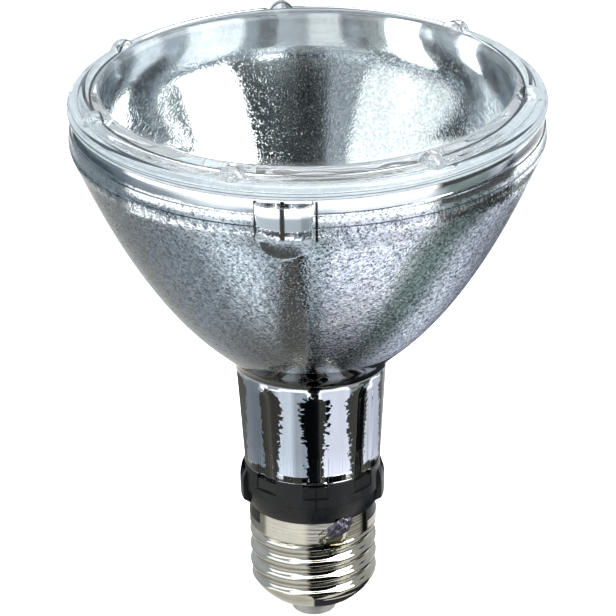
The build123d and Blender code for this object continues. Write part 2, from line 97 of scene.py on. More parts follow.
def dress(node, material):
    """Gives a CAD node one material."""
    mesh = nodes[node].data
    mesh.materials.clear()
    mesh.materials.append(material)


def clear_glass(name, tint, index, wave_mm, gloss=0.5):
    """Clear glass with a fire-polished face: sharp gloss, and faint waves from its pressing or drawing."""
    material, tree, where = start_material(name)
    waves = add_node(
        tree, "ShaderNodeTexNoise", {"Vector": where, "Scale": per_metre(wave_mm), "Detail": 1}
    )
    ripple = add_node(
        tree, "ShaderNodeBump", {"Height": waves.outputs["Fac"], "Strength": 0.12, "Distance": 0.0002}
    )
    finish_material(
        tree,
        {
            "Base Color": linear(tint),
            "Roughness": 0.0,
            "IOR": index,
            "Specular IOR Level": gloss,
            "Transmission Weight": 1.0,
            "Normal": ripple.outputs["Normal"],
        },
    )
    return material


def dull_ceramic(name, pale, dark, grain_mm, roughness):
    """Sintered, set or woven ceramic: fine grain in its colour and its face, with no polish.

    The real grain is finer, and is drawn as coarse as it needs to show.
    """
    material, tree, where = start_material(name)
    grain = add_node(
        tree, "ShaderNodeTexNoise", {"Vector": where, "Scale": per_metre(grain_mm), "Detail": 4}
    )
    colour = add_node(
        tree,
        "ShaderNodeMix",
        {FACTOR: grain.outputs["Fac"], COLOUR_A: linear(dark), COLOUR_B: linear(pale)},
        data_type="RGBA",
    )
    bump = add_node(
        tree, "ShaderNodeBump", {"Height": grain.outputs["Fac"], "Strength": 0.3, "Distance": 0.0001}
    )
    finish_material(
        tree,
        {"Base Color": colour.outputs[MIXED], "Roughness": roughness, "Normal": bump.outputs["Normal"]},
    )
    return material


def bare_metal(name, pale, dark, grain_mm, roughness):
    """Drawn, rolled or tinned metal: patchy colour, and a roughness that varies with it."""
    material, tree, where = start_material(name)
    grain = add_node(
        tree, "ShaderNodeTexNoise", {"Vector": where, "Scale": per_metre(grain_mm), "Detail": 5}
    )
    colour = add_node(
        tree,
        "ShaderNodeMix",
        {FACTOR: grain.outputs["Fac"], COLOUR_A: linear(dark), COLOUR_B: linear(pale)},
        data_type="RGBA",
    )
    dullness = add_node(
        tree,
        "ShaderNodeMapRange",
        {"Value": grain.outputs["Fac"], "To Min": roughness * 1.3, "To Max": roughness * 0.7},
    )
    bump = add_node(
        tree, "ShaderNodeBump", {"Height": grain.outputs["Fac"], "Strength": 0.2, "Distance": 0.0001}
    )
    finish_material(
        tree,
        {
            "Base Color": colour.outputs[MIXED],
            "Metallic": 1.0,
            "Roughness": dullness.outputs["Result"],
            "Normal": bump.outputs["Normal"],
        },
    )
    return material


quartz = clear_glass("fused_quartz_drawn", "#fbfcfd", index=1.46, wave_mm=6)
alumina = dull_ceramic("alumina_sintered", "#f4f2ec", "#e2ddd2", grain_mm=0.4, roughness=0.45)
cement = dull_ceramic("lamp_cement_set", "#d9d4c8", "#b9b2a3", grain_mm=1.2, roughness=0.9)
sleeving = dull_ceramic("glass_fibre_sleeving_woven", "#e6e2d6", "#c4bca8", grain_mm=0.5, roughness=0.8)
wire_metal = bare_metal("lead_wire_drawn", "#b8b4ac", "#7f7a72", grain_mm=1.0, roughness=0.35)
foil_metal = bare_metal("molybdenum_foil_rolled", "#a3a3a6", "#77777c", grain_mm=1.5, roughness=0.4)
getter_metal = bare_metal("getter_strip_pressed", "#86868a", "#4d4d52", grain_mm=0.8, roughness=0.6)
dress("burner_bulb", quartz)
dress("arc_tube", alumina)
dress("burner_cement", cement)
dress("lead_sleeve", sleeving)
dress("foil_left", foil_metal)
dress("foil_right", foil_metal)
dress("getter", getter_metal)
wires = ("upper_lead", "lower_lead", "return_wire", "pin_left", "pin_right", "contact_lead", "shell_lead")
for wire in wires:
    dress(wire, wire_metal)


# Reflector: bowl, fluted neck and rim pressed in one piece of hard glass, aluminised on the inside.
# From outside the film shows through the stippled wall; above it the rim is clear, with one lug.

NECK_FOOT, NECK_LEDGE, NECK_TOP = 29.0, 36.0, 57.0
NECK_BORE, NECK_SEAT_RADIUS, NECK_FOOT_RADIUS, NECK_TOP_RADIUS = 11.5, 13.2, 14.15, 15.5
SHOULDER_PULL, SHOULDER_END = (15.68, 59.17), (18.6, 61.84)
BOWL_FOOT, BOWL_PULL, BOWL_TOP = (20.97, 64.0), (35.2, 77.0), (47.35, 106.4)
RIM_TOP, RIM_RADIUS, RIM_BORE, RIM_BULGE, RIM_CORNER = 113.7, 47.1, 43.7, 47.65, 0.9
BULGE_PULL, LINE_FOOT, LINE_DEPTH, LINE_HALF = (47.71, 107.3), 108.2, 0.25, 0.15
STEP_LOW, STEP_HIGH = (47.35, 110.4), (RIM_RADIUS, 110.55)
FOCAL_LENGTH, MIRROR_VERTEX = 9.8, 56.8
FLUTE_COUNT, FLUTE_TURN, FLUTE_CUTTER, FLUTE_DEPTH, FLUTE_BALL_Z = 8, -87.4, 6.0, 0.85, 53.9
FLUTE_EDGE = 0.12
LUG_TURN, LUG_HALF_WIDTH, LUG_REACH, LUG_BULGE = -95.8, 6.0, 48.7, 2.4
LUG_CENTRE_Z, LUG_TOP, LUG_EDGE, LUG_FADE = 107.6, 113.1, 0.35, 0.1
HARD_GLASS_INDEX = 1.474
STIPPLED, CLEAR, FILM, FUSED, NECK = 0, 1, 2, 3, 4
THROAT_RING_Z, THROAT_RING_HALF = 61.7, 3.8
LUG_SPAN, LUG_PLAIN_HALF, LUG_PLAIN_FROM = 8, 5.44, 100
LUG_LINES_Z, LUG_LINES_HALF = 108.5, 4
# Painted dark lines in the film behind the lug, by millimetres across it: white paints the film dark, grey
# partly.
LUG_PAINTED_LINES = [
    (-6.1, "#000000"),
    (-5.8, "#ffffff"),
    (-5.4, "#ffffff"),
    (-5.1, "#000000"),
    (-1.0, "#000000"),
    (-0.8, "#ffffff"),
    (-0.2, "#ffffff"),
    (0.0, "#000000"),
    (2.3, "#000000"),
    (2.7, "#9a9a9a"),
    (3.6, "#9a9a9a"),
    (3.9, "#000000"),
    (5.5, "#000000"),
    (5.7, "#ffffff"),
    (6.0, "#ffffff"),
    (6.2, "#000000"),
]


def curve(start, pull, end, count, first=0.0, last=1.0):
    """Points of the quadratic curve from start to end, between two shares of its way, without the last."""
    t = first + (last - first) * np.arange(count)[:, None] / count
    return (1 - t) ** 2 * np.array(start) + 2 * t * (1 - t) * np.array(pull) + t**2 * np.array(end)


def run(start, end, count):
    """Points of a straight run from start towards its end, without the end."""
    t = np.arange(count)[:, None] / count
    return (1 - t) * np.array(start) + t * np.array(end)


def smooth_step(value, low, high):
    """0 below low, 1 above high, and an even S between them."""
    t = np.clip((value - low) / (high - low), 0, 1)
    return t * t * (3 - 2 * t)


def soft_min(first, second, softness):
    """The lower of two values, with the crossing rounded off over about that much."""
    lead = np.clip((second - first) / softness, -40, 40)
    return first - softness * np.log1p(np.exp(-lead))


def lay_surface(name, radius, height, angles, crease, poles=False):
    """Mesh of a surface about the axis: rows run along its profile, columns run round it.

    The profile goes up the outside, so that faces point outwards. Its rows close in a loop, or with
    poles the first and last rows shrink to one point each. Edges sharper than the crease stay crisp.
    """
    rows, columns = radius.shape
    points = np.stack([radius * np.cos(angles), radius * np.sin(angles), height], -1).reshape(-1, 3)
    index = np.arange(rows * columns).reshape(rows, columns)
    caps = []
    if poles:
        points = points[columns - 1 : (rows - 1) * columns + 1]
        index = index[1:-1] - (columns - 1)
        first, last = index[0], index[-1]
        foot = np.column_stack([np.roll(first, -1), first, np.zeros(columns, int)])
        head = np.column_stack([last, np.roll(last, -1), np.full(columns, len(points) - 1)])
        caps = foot.tolist() + head.tolist()
    else:
        index = np.vstack([index, index[:1]])
    index = np.hstack([index, index[:, :1]])
    quads = np.stack([index[:-1, :-1], index[:-1, 1:], index[1:, 1:], index[1:, :-1]], -1).reshape(-1, 4)
    mesh = bpy.data.meshes.new(name)
    mesh.from_pydata((points / 1000).tolist(), [], quads.tolist() + caps)
    mesh.shade_smooth()
    mesh.set_sharp_from_angle(angle=math.radians(crease))
    piece = bpy.data.objects.new(name, mesh)
    bpy.context.scene.collection.objects.link(piece)
    return piece


def mirror_height(radius):
    """Height of the parabolic mirror at a radius."""
    return MIRROR_VERTEX + radius**2 / (4 * FOCAL_LENGTH)


def reflector_profile():
    """Runs of the reflector's section as (points, finish), up the outside and down the inside.

    Straight runs and quadratic curves make the outside, each in the number of rows it needs. The inside is
    the parabola, held to the rim's bore with a soft corner, and the neck's plain bore.
    """
    stipple_from, fine_from = 0.1, 0.86
    mirror_foot = mirror_height(NECK_BORE)
    inside_z = np.linspace(RIM_TOP, mirror_foot, 90)[:-1]
    parabola = np.sqrt(4 * FOCAL_LENGTH * (inside_z - MIRROR_VERTEX))
    inside = np.column_stack([soft_min(parabola, RIM_BORE, RIM_CORNER), inside_z])
    line_low, line_high = (RIM_BULGE, LINE_FOOT), (RIM_BULGE, LINE_FOOT + 2 * LINE_HALF)
    line_floor = (RIM_BULGE - LINE_DEPTH, LINE_FOOT + LINE_HALF)
    return [
        (run((NECK_BORE, NECK_FOOT), (NECK_SEAT_RADIUS, NECK_FOOT), 2), CLEAR),
        (run((NECK_SEAT_RADIUS, NECK_FOOT), (NECK_SEAT_RADIUS, NECK_LEDGE), 3), CLEAR),
        (run((NECK_SEAT_RADIUS, NECK_LEDGE), (NECK_FOOT_RADIUS, NECK_LEDGE), 2), CLEAR),
        (run((NECK_FOOT_RADIUS, NECK_LEDGE), (NECK_TOP_RADIUS, NECK_TOP), 40), NECK),
        (curve((NECK_TOP_RADIUS, NECK_TOP), SHOULDER_PULL, SHOULDER_END, 14), NECK),
        (run(SHOULDER_END, BOWL_FOOT, 4), NECK),
        (curve(BOWL_FOOT, BOWL_PULL, BOWL_TOP, 6, 0, stipple_from), NECK),
        (curve(BOWL_FOOT, BOWL_PULL, BOWL_TOP, 30, stipple_from, fine_from), STIPPLED),
        (curve(BOWL_FOOT, BOWL_PULL, BOWL_TOP, 22, fine_from, 1), STIPPLED),
        (curve(BOWL_TOP, BULGE_PULL, line_low, 8), STIPPLED),
        (run(line_low, line_floor, 1), CLEAR),
        (run(line_floor, line_high, 1), CLEAR),
        (run(line_high, STEP_LOW, 8), CLEAR),
        (run(STEP_LOW, STEP_HIGH, 1), CLEAR),
        (run(STEP_HIGH, (RIM_RADIUS, RIM_TOP), 12), CLEAR),
        (run((RIM_RADIUS, RIM_TOP), (RIM_BORE, RIM_TOP), 3), FUSED),
        (inside, FILM),
        (run((NECK_BORE, mirror_foot), (NECK_BORE, NECK_FOOT), 4), FILM),
    ]


def reflector_angles():
    """Even columns round the axis, with finer ones across the lug."""
    even_step, fine_step, fine_to, even_from = 1.2, 0.3, 9.6, 9.8
    even = np.arange(0, 360, even_step)
    fine = LUG_TURN % 360 + np.arange(-fine_to, fine_to + 0.01, fine_step)
    away = np.abs((even - LUG_TURN + 180) % 360 - 180) > even_from
    return np.radians(np.sort(np.concatenate([even[away], fine])))


def press_flutes(radius, height, angles):
    """Lowers the neck's face to ball-ended cutters: a circle of the cutter's radius at each height."""
    pitch = 2 * np.pi / FLUTE_COUNT
    off = (angles - np.radians(FLUTE_TURN) + pitch / 2) % pitch - pitch / 2
    lean = (NECK_TOP_RADIUS - NECK_FOOT_RADIUS) / (NECK_TOP - NECK_LEDGE)
    over = height - FLUTE_BALL_Z
    centre = NECK_TOP_RADIUS - FLUTE_DEPTH + FLUTE_CUTTER + lean * np.minimum(over, 0)
    under = FLUTE_CUTTER**2 - np.maximum(over, 0) ** 2 - (centre * np.sin(off)) ** 2
    flute = np.where(under > 0, centre * np.cos(off) - np.sqrt(np.maximum(under, 0)), 1e3)
    return soft_min(radius, flute, FLUTE_EDGE)


def lug_depth(height, angles):
    """How far a point of the wall lies inside the lug's outline: upright sides, a half-round foot."""
    off = (angles - np.radians(LUG_TURN) + np.pi) % (2 * np.pi) - np.pi
    across = off * RIM_RADIUS
    below = np.minimum(height - LUG_CENTRE_Z, 0)
    return across, np.minimum(LUG_HALF_WIDTH - np.hypot(across, below), LUG_TOP - height)


def raise_lug(radius, height, angles):
    """Raises the lug on the rim's outside: a half ellipse across its width, with soft edges."""
    across, depth = lug_depth(height, angles)
    bow = np.sqrt(np.maximum(1 - (across / LUG_HALF_WIDTH) ** 2, 0))
    face = LUG_REACH - LUG_BULGE * (1 - bow)
    raised = radius + np.maximum(face - radius, 0) * smooth_step(depth, -LUG_FADE, LUG_EDGE)
    on_outside = radius > RIM_BORE + 0.5
    return np.where(on_outside, raised, radius)


def stippled_wall():
    """Hard glass pressed in a peened mould: its dents break up the film behind it into light and dark, and
    painted sparkle in its colour adds light and dark cells.
    """
    material, tree, where = start_material("hard_glass_pressed_stippled")
    dents = add_node(tree, "ShaderNodeTexNoise", {"Vector": where, "Scale": per_metre(0.5), "Detail": 0})
    sparkle_cells = add_node(tree, "ShaderNodeTexVoronoi", {"Vector": where, "Scale": per_metre(0.42)})
    chance = add_node(tree, "ShaderNodeSeparateColor", {"Color": sparkle_cells.outputs["Color"]})
    # Painted sparkle: light and dark cells in the glass's colour stand in for the glints of its dents.
    colour = add_node(
        tree,
        "ShaderNodeValToRGB",
        {"Fac": chance.outputs["Red"]},
        stops=[(0.0, "#20282c"), (0.38, "#c4ced3"), (0.72, "#ffffff")],
    )
    bump = add_node(
        tree, "ShaderNodeBump", {"Height": dents.outputs["Fac"], "Strength": 1.0, "Distance": 0.000014}
    )
    finish_material(
        tree,
        {
            "Base Color": colour.outputs["Color"],
            "Roughness": 0.0,
            "IOR": HARD_GLASS_INDEX,
            "Transmission Weight": 1.0,
            "Normal": bump.outputs["Normal"],
        },
    )
    return material


def mirror_film():
    """Aluminium film on peened glass: a bright mirror broken up by its dents, with painted sparkle in its
    colour.

    Painted dark reflections: a ragged dark stripe is painted behind each flute of the neck, wider towards
    its arched top, a dark ring where the neck opens into the bowl, and a few dark lines behind the lug,
    where the film is smooth, for the dark edges that the lug's glass shows.
    """
    material, tree, where = start_material("aluminium_mirror_film")
    axes = add_node(tree, "ShaderNodeSeparateXYZ", {"Vector": where}).outputs
    height = axes["Z"]
    share = add_node(tree, "ShaderNodeMapRange", {"Value": height, "From Max": RIM_TOP / 1000})
    peened = add_node(
        tree,
        "ShaderNodeValToRGB",
        {"Fac": share.outputs["Result"]},
        stops=[
            (NECK_TOP / RIM_TOP, "#202020"),
            (mirror_height(NECK_BORE) / RIM_TOP, "#ffffff"),
            (mirror_height(RIM_BORE) / RIM_TOP, "#ffffff"),
            (LINE_FOOT / RIM_TOP, "#484848"),
        ],
    )
    turn = add_node(tree, "ShaderNodeMath", {0: axes["Y"], 1: axes["X"]}, operation="ARCTAN2")
    from_lug = add_node(
        tree,
        "ShaderNodeMapRange",
        {
            "Value": turn.outputs[0],
            "From Min": math.radians(LUG_TURN) - LUG_SPAN / RIM_BORE,
            "From Max": math.radians(LUG_TURN) + LUG_SPAN / RIM_BORE,
        },
    )
    beside_lug = add_node(
        tree,
        "ShaderNodeMath",
        {0: from_lug.outputs["Result"], 1: 0.5, 2: LUG_PLAIN_HALF / (2 * LUG_SPAN)},
        operation="COMPARE",
    )
    height_at_lug = add_node(
        tree, "ShaderNodeMath", {0: height, 1: beside_lug.outputs[0]}, operation="MULTIPLY"
    )
    off_lug = add_node(
        tree,
        "ShaderNodeMath",
        {0: height_at_lug.outputs[0], 1: LUG_PLAIN_FROM / 1000},
        operation="LESS_THAN",
    )
    stamped = add_node(
        tree, "ShaderNodeMath", {0: peened.outputs["Color"], 1: off_lug.outputs[0]}, operation="MULTIPLY"
    )
    dents = add_node(tree, "ShaderNodeTexNoise", {"Vector": where, "Scale": per_metre(0.36), "Detail": 0})
    nicks = add_node(tree, "ShaderNodeTexNoise", {"Vector": where, "Scale": per_metre(0.3), "Detail": 0})
    sharp_nicks = add_node(
        tree,
        "ShaderNodeMapRange",
        {"Value": nicks.outputs["Fac"], "From Min": 0.66, "From Max": 0.8, "To Max": 0.9},
    )
    pitted = add_node(tree, "ShaderNodeMath", {0: dents.outputs["Fac"], 1: sharp_nicks.outputs["Result"]})
    relief = add_node(
        tree, "ShaderNodeMath", {0: pitted.outputs[0], 1: stamped.outputs[0]}, operation="MULTIPLY"
    )
    spots = add_node(tree, "ShaderNodeTexVoronoi", {"Vector": where, "Scale": per_metre(0.5)})
    sparkle = add_node(tree, "ShaderNodeSeparateColor", {"Color": spots.outputs["Color"]})
    # Painted sparkle: lighter and darker cells in the film's colour stand in for the glints of its dents.
    painted_sparkle = add_node(
        tree,
        "ShaderNodeMix",
        {FACTOR: sparkle.outputs["Red"], COLOUR_A: linear("#d8dee2"), COLOUR_B: linear("#fbfcfd")},
        data_type="RGBA",
    )
    bright = add_node(
        tree,
        "ShaderNodeMix",
        {FACTOR: stamped.outputs[0], COLOUR_A: linear("#f4f6f9"), COLOUR_B: painted_sparkle.outputs[MIXED]},
        data_type="RGBA",
    )
    phase = add_node(
        tree,
        "ShaderNodeMath",
        {0: turn.outputs[0], 1: FLUTE_COUNT, 2: -FLUTE_COUNT * math.radians(FLUTE_TURN)},
        operation="MULTIPLY_ADD",
    )
    under_flute = add_node(tree, "ShaderNodeMath", {0: phase.outputs[0]}, operation="COSINE")
    flecks = add_node(tree, "ShaderNodeTexNoise", {"Vector": where, "Scale": per_metre(0.7), "Detail": 4})
    ragged = add_node(
        tree,
        "ShaderNodeMath",
        {0: flecks.outputs["Fac"], 1: 2.4, 2: under_flute.outputs[0]},
        operation="MULTIPLY_ADD",
    )
    stripe = add_node(
        tree,
        "ShaderNodeMapRange",
        {
            "Value": height,
            "From Min": NECK_LEDGE / 1000,
            "From Max": NECK_TOP / 1000,
            "To Min": 1.6,
            "To Max": 0.6,
        },
    )
    arch = add_node(
        tree,
        "ShaderNodeMapRange",
        {
            "Value": height,
            "From Min": FLUTE_BALL_Z / 1000,
            "From Max": NECK_TOP / 1000,
            "To Max": 2.6,
        },
    )
    needed = add_node(tree, "ShaderNodeMath", {0: arch.outputs["Result"], 1: stripe.outputs["Result"]})
    # Painted dark reflection: a ragged dark stripe in the film behind each flute, wider towards its arched
    # top.
    thin = add_node(
        tree, "ShaderNodeMath", {0: ragged.outputs[0], 1: needed.outputs[0]}, operation="GREATER_THAN"
    )
    # Painted dark reflection: a dark ring in the film where the neck opens into the bowl.
    ring = add_node(
        tree,
        "ShaderNodeMath",
        {0: height, 1: THROAT_RING_Z / 1000, 2: THROAT_RING_HALF / 1000},
        operation="COMPARE",
    )
    lug_lines_painted = add_node(
        tree,
        "ShaderNodeValToRGB",
        {"Fac": from_lug.outputs["Result"]},
        stops=[(0.5 + across / (2 * LUG_SPAN), code) for across, code in LUG_PAINTED_LINES],
    )
    at_lug = add_node(
        tree,
        "ShaderNodeMath",
        {0: height, 1: LUG_LINES_Z / 1000, 2: LUG_LINES_HALF / 1000},
        operation="COMPARE",
    )
    # Painted dark lines behind the lug, standing in for the dark edges that its glass shows.
    painted_lug_lines = add_node(
        tree, "ShaderNodeMath", {0: lug_lines_painted.outputs["Color"], 1: at_lug.outputs[0]}, operation="MULTIPLY"
    )
    neck_painted_dark = add_node(
        tree, "ShaderNodeMath", {0: thin.outputs[0], 1: ring.outputs[0]}, operation="MAXIMUM"
    )
    painted_dark = add_node(
        tree, "ShaderNodeMath", {0: neck_painted_dark.outputs[0], 1: painted_lug_lines.outputs[0]}, operation="MAXIMUM"
    )
    # The film's painted dark reflections (flute stripes, throat ring, lug lines) are mixed in here.
    colour = add_node(
        tree,
        "ShaderNodeMix",
        {FACTOR: painted_dark.outputs[0], COLOUR_A: bright.outputs[MIXED], COLOUR_B: linear("#0e1214")},
        data_type="RGBA",
    )
    bump = add_node(
        tree, "ShaderNodeBump", {"Height": relief.outputs[0], "Strength": 1.0, "Distance": 0.000013}
    )
    finish_material(
        tree,
        {
            "Base Color": colour.outputs[MIXED],
            "Metallic": 1.0,
            "Roughness": 0.05,
            "Normal": bump.outputs["Normal"],
        },
    )
    return material


def sealed_seam():
    """The seal between lens and rim: fused faces, milky with fine bubbles, and dark rings left unfused."""
    material, tree, where = start_material("glass_seal_milky")
    bubbles = add_node(tree, "ShaderNodeTexNoise", {"Vector": where, "Scale": per_metre(1.5), "Detail": 4})
    colour = add_node(
        tree,
        "ShaderNodeMix",
        {FACTOR: bubbles.outputs["Fac"], COLOUR_A: linear("#a6b0b6"), COLOUR_B: linear("#d8e0e6")},
        data_type="RGBA",
    )
    axes = add_node(tree, "ShaderNodeSeparateXYZ", {"Vector": where}).outputs
    across = add_node(tree, "ShaderNodeCombineXYZ", {"X": axes["X"], "Y": axes["Y"]})
    out = add_node(tree, "ShaderNodeVectorMath", {0: across.outputs["Vector"]}, operation="LENGTH")
    rings = add_node(
        tree,
        "ShaderNodeTexNoise",
        {"W": out.outputs["Value"], "Scale": per_metre(0.8), "Detail": 2},
        noise_dimensions="1D",
    )
    lines = add_node(
        tree,
        "ShaderNodeValToRGB",
        {"Fac": rings.outputs["Fac"]},
        stops=[(0.38, "#4a5258"), (0.48, "#ffffff")],
    )
    marked = add_node(
        tree,
        "ShaderNodeMix",
        {FACTOR: 1.0, COLOUR_A: colour.outputs[MIXED], COLOUR_B: lines.outputs["Color"]},
        data_type="RGBA",
        blend_type="MULTIPLY",
    )
    finish_material(tree, {"Base Color": marked.outputs[MIXED], "Roughness": 0.5})
    return material


runs = reflector_profile()
section = np.concatenate([points for points, finish in runs])
row_finish = np.concatenate([np.full(len(points), finish) for points, finish in runs])
turns = reflector_angles()
plain_radius = np.repeat(section[:, :1], len(turns), 1)
level = np.repeat(section[:, 1:], len(turns), 1)
shaped_radius = raise_lug(press_flutes(plain_radius, level, turns), level, turns)
reflector = lay_surface("reflector_glass", shaped_radius, level, turns, crease=32)
rim_glass = clear_glass("hard_glass_pressed_rim", "#f5f9f8", HARD_GLASS_INDEX, wave_mm=7)
neck_glass = clear_glass("hard_glass_pressed_neck", "#d4d8dc", HARD_GLASS_INDEX, wave_mm=7, gloss=0.12)
seam = sealed_seam()
for finish in (stippled_wall(), rim_glass, mirror_film(), seam, neck_glass):
    reflector.data.materials.append(finish)
in_lug = (lug_depth(level, turns)[1] > 0) & (row_finish == STIPPLED)[:, None]
face_finish = np.where(in_lug, CLEAR, row_finish[:, None])
reflector.data.polygons.foreach_set("material_index", face_finish.reshape(-1).astype(np.int32))
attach(reflector, "root")
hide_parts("reflector")


# Front lens: one thick disc of clear hard glass, pressed with a stepped edge and fused to the rim of the
# reflector. Seven nubs on its own rim keep its face off a table.

LENS_BACK, LENS_FACE, LENS_RADIUS, LENS_FACE_RADIUS = 114.6, 118.3, 47.75, 41.4
LENS_BEVEL, SEAL_GAP, RIM_FACE_FROM = 0.8, 0.02, 115.6
GROOVE_RADIUS, GROOVE_FOOT, GROOVE_HALF = 43.05, 117.0, 0.22
NUB_COUNT, NUB_TURN, NUB_CIRCLE, NUB_RADIUS, NUB_Z, NUB_EDGE = 7, 45.3, 43.9, 2.6, 116.4, 0.08
LENS_CLEAR, LENS_SEAL, LENS_GROOVE = 0, 1, 2
# Corners of the stepped edge, from the seal up to the groove: radius, height and softness.
LENS_STEPS = [
    (LENS_RADIUS, 114.2, 0.15),
    (LENS_RADIUS, 115.5, 0.38),
    (47.1, 115.55, 0.1),
    (47.05, 115.85, 0.1),
    (46.675, 116.425, 0.55),
    (45.6, 116.5, 0.1),
    (45.5, 116.9, 0.15),
    (44.125, 117.75, 1.0),
    (GROOVE_RADIUS, GROOVE_FOOT, 0.2),
]


def rounded(corners, step, most):
    """Section through corners (radius, height, softness), without the last corner.

    A quadratic curve cuts each corner, from its softness before it to its softness after it, and the
    straight runs between are divided into steps of about that size, up to the most allowed.
    """
    places = np.array([corner[:2] for corner in corners], float)
    softness = np.array([corner[2] for corner in corners])
    lengths = np.linalg.norm(np.diff(places, axis=0), axis=1)
    along = np.diff(places, axis=0) / lengths[:, None]
    parts = []
    for i, length in enumerate(lengths):
        start = places[i] + along[i] * softness[i]
        end = places[i + 1] - along[i] * softness[i + 1]
        parts.append(run(start, end, int(np.clip(np.ceil(length / step), 1, most))))
        if softness[i + 1] > 0:
            after = places[i + 1] + along[i + 1] * softness[i + 1]
            bend_rows = int(np.clip(softness[i + 1] / 0.1, 4, 10))
            parts.append(curve(end, places[i + 1], after, bend_rows))
    return np.concatenate(parts)


def lens_profile():
    """The lens's section from the middle of its back, round its edge, to the middle of its face."""
    seal = RIM_TOP + SEAL_GAP
    corners = [
        (0, LENS_BACK, 0),
        (RIM_BORE - LENS_BEVEL, LENS_BACK, 0.3),
        (RIM_BORE, seal, 0.05),
        (RIM_RADIUS, seal, 0.05),
        *LENS_STEPS,
        (LENS_FACE_RADIUS, LENS_FACE, 0.4),
        (0, LENS_FACE, 0),
    ]
    return np.concatenate([rounded(corners, step=0.2, most=12), [(0, LENS_FACE)]])


def lens_angles():
    """Even columns round the axis, with finer ones across each nub."""
    pitch = 360 / NUB_COUNT
    even_step, fine_step, fine_to = 1.5, 0.3, 4.2
    fine = np.arange(-fine_to, fine_to, fine_step)
    one = np.concatenate([fine, np.arange(fine_to, pitch - fine_to, even_step)])
    return np.radians((NUB_TURN + pitch * np.arange(NUB_COUNT)[:, None] + one).reshape(-1))


def raise_nubs(radius, height, angles):
    """Raises the rim's upper face to spheres set round it, with the crossing softened."""
    pitch = 2 * np.pi / NUB_COUNT
    off = (angles - np.radians(NUB_TURN) + pitch / 2) % pitch - pitch / 2
    gap = (radius * np.cos(off) - NUB_CIRCLE) ** 2 + (radius * np.sin(off)) ** 2
    nub = NUB_Z + np.sqrt(np.maximum(NUB_RADIUS**2 - gap, 0))
    raised = -soft_min(-height, -nub, NUB_EDGE)
    return np.where((gap < NUB_RADIUS**2) & (height > RIM_FACE_FROM), raised, height)


section = lens_profile()
turns = lens_angles()
plain_radius = np.repeat(section[:, :1], len(turns), 1)
level = raise_nubs(plain_radius, np.repeat(section[:, 1:], len(turns), 1), turns)
lens = lay_surface("lens_disc", plain_radius, level, turns, crease=40, poles=True)
lens_glass = clear_glass("hard_glass_pressed_lens", "#f7faf9", HARD_GLASS_INDEX, wave_mm=9)
# The groove's glass is tinted dark: a painted dark line along the groove.
groove_glass = clear_glass("hard_glass_painted_dark_groove", "#262c30", HARD_GLASS_INDEX, wave_mm=9)
for finish in (lens_glass, seam, groove_glass):
    lens.data.materials.append(finish)
face_r = (section[1:-2, 0] + section[2:-1, 0]) / 2
face_z = (section[1:-2, 1] + section[2:-1, 1]) / 2
in_seal = (face_z < LENS_BACK - 0.05) & (section[2:-1, 0] < RIM_RADIUS)
in_groove = (face_z > RIM_FACE_FROM) & (np.abs(face_r - GROOVE_RADIUS) < GROOVE_HALF)
row_finish = np.where(in_seal, LENS_SEAL, np.where(in_groove, LENS_GROOVE, LENS_CLEAR))
lens_finish = np.concatenate([np.repeat(row_finish, len(turns)), np.full(2 * len(turns), LENS_CLEAR)])
lens.data.polygons.foreach_set("material_index", lens_finish.astype(np.int32))
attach(lens, "root")
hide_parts("front_lens")


# Collar: black heat-resistant plastic, moulded with a panel under each flute and an ear on each side.
# It grips the foot of the glass neck and keys into the notches of the cap.


def moulded_plastic():
    """Glass-filled PBT, moulded: satin black with a spark-eroded grain, drawn coarse enough to show."""
    material, tree, where = start_material("pbt_black_moulded")
    grain = add_node(tree, "ShaderNodeTexNoise", {"Vector": where, "Scale": per_metre(0.5), "Detail": 3})
    scuff = add_node(tree, "ShaderNodeTexNoise", {"Vector": where, "Scale": per_metre(5), "Detail": 3})
    colour = add_node(
        tree,
        "ShaderNodeMix",
        {FACTOR: scuff.outputs["Fac"], COLOUR_A: linear("#060707"), COLOUR_B: linear("#121517")},
        data_type="RGBA",
    )
    gloss = add_node(
        tree, "ShaderNodeMapRange", {"Value": scuff.outputs["Fac"], "To Min": 0.2, "To Max": 0.42}
    )
    bump = add_node(
        tree, "ShaderNodeBump", {"Height": grain.outputs["Fac"], "Strength": 0.45, "Distance": 0.0001}
    )
    finish_material(
        tree,
        {
            "Base Color": colour.outputs[MIXED],
            "Roughness": gloss.outputs["Result"],
            "IOR": 1.55,
            "Specular IOR Level": 0.3,
            "Normal": bump.outputs["Normal"],
        },
    )
    return material


dress("collar", moulded_plastic())


# Screw shell: thin brass, rolled to the rounded screw thread and bright nickel plated.
# Its foot is turned in over the insulator, and two notches in its top edge take the collar's keys.

THREAD_PITCH, CREST_RADIUS, ROOT_RADIUS, LEFT_CREST_Z = 25.4 / 7, 13.1, 12.1, 19.2
SHELL_FOOT, SHELL_TOP, SHELL_BORE, SHELL_SHEET = 5.0, 26.3, 11.75, 0.5
LIP_RADIUS, CORNER_RISE, CORNER_PULL = 9.4, 5.6, 0.2
WIDEST_RADIUS, WIDEST_RISE, CORE_LIP_RADIUS = 13.5, 6.4, 9.2
SKIRT_RADIUS, SKIRT_FOOT, SKIRT_TAPER, SKIRT_BORE, SKIRT_STEP = 13.15, 21.6, 1.4, 12.8, 22.0
NOTCH_FOOT, NOTCH_HALF_ANGLE, NOTCH_EDGE, NOTCH_ROWS_FROM = 23.6, 34.0, 0.15, 22.6
OUTSIDE_ROWS, SKIRT_ROWS, BORE_ROWS = 180, 12, 30
FLUX_SPOT, FLUX_REACH = (4.2, -12.6, 22.2), 5


def corner_radius(height, lip, radius, rise):
    """Radius of the shell's rounded lower corner at a height: a curve from its lip out to a radius."""
    pulled = (radius - CORNER_PULL, SHELL_FOOT + rise / 2)
    points = curve((lip, SHELL_FOOT), pulled, (radius, SHELL_FOOT + rise), count=60)
    return np.interp(height, points[:, 1], points[:, 0], right=radius)


